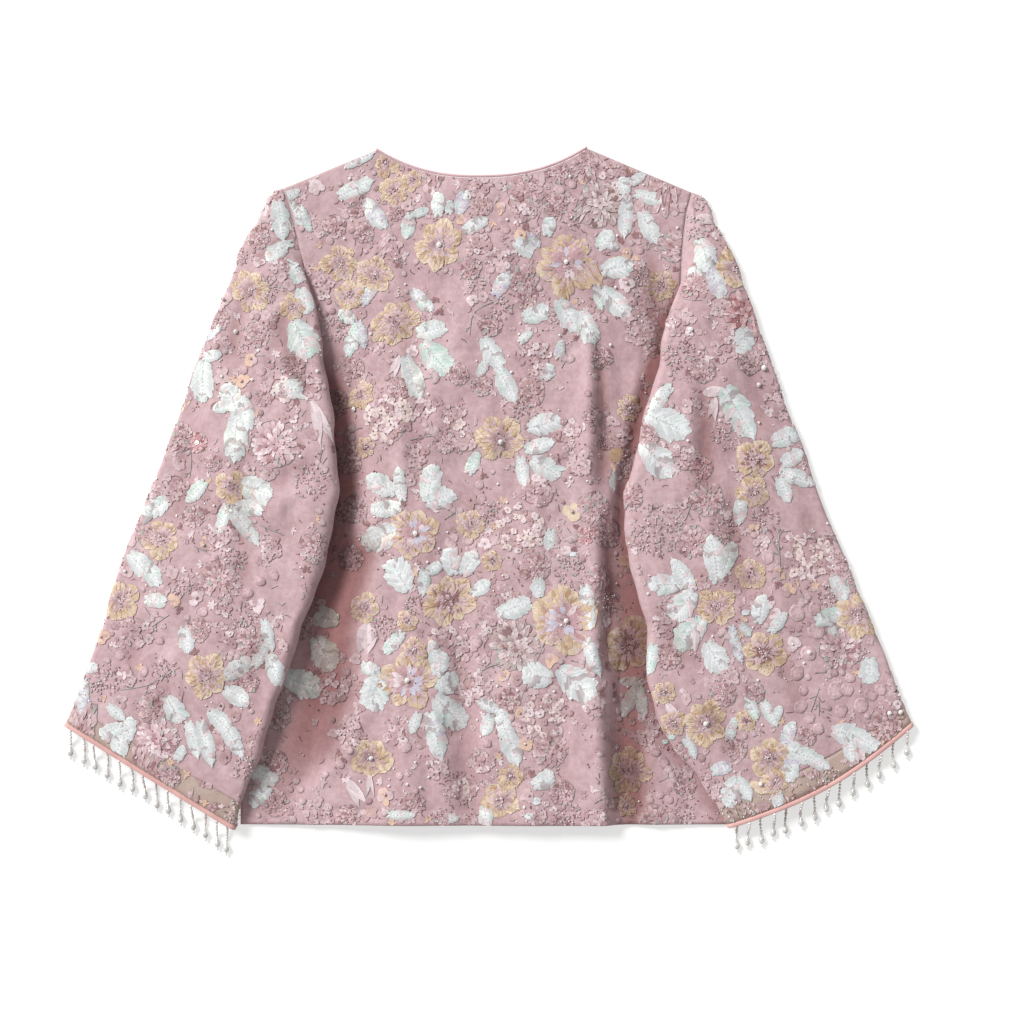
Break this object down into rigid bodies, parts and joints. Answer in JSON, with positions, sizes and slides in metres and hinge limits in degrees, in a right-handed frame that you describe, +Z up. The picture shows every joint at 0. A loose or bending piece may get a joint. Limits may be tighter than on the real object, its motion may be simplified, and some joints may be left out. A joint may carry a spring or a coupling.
{
  "type": "cardigan",
  "caption": "Cropped long-sleeved cardigan of flower-embroidered net over a pink lining, bead-fringed cuffs, lying flat with its back up.",
  "frame": {"origin": "middle of the bounding box's bottom face, on the surface it lies on", "axes": "+X to the wearer's right as it lies back up, +Y towards the neck, +Z up out of the back"},
  "size_m": [0.7482, 0.6288, 0.0269],
  "materials": {
    "embroidered_net": "matt net with sequins over a satin lining",
    "lining": "soft satin",
    "binding": "satin ribbon",
    "beads": "clear and silver glass beads"
  },
  "bodies": {
    "root": {"back": "embroidered_net", "front_left": "embroidered_net", "front_right": "embroidered_net", "sleeve_left": "embroidered_net", "sleeve_right": "embroidered_net", "sleeve_lining_left": "lining", "sleeve_lining_right": "lining", "cuff_binding_left": "binding", "cuff_binding_right": "binding", "neck_binding_back": "binding", "neck_binding_front_left": "binding", "neck_binding_front_right": "binding", "fringe_left": "beads", "fringe_right": "beads"}
  },
  "joints": []
}
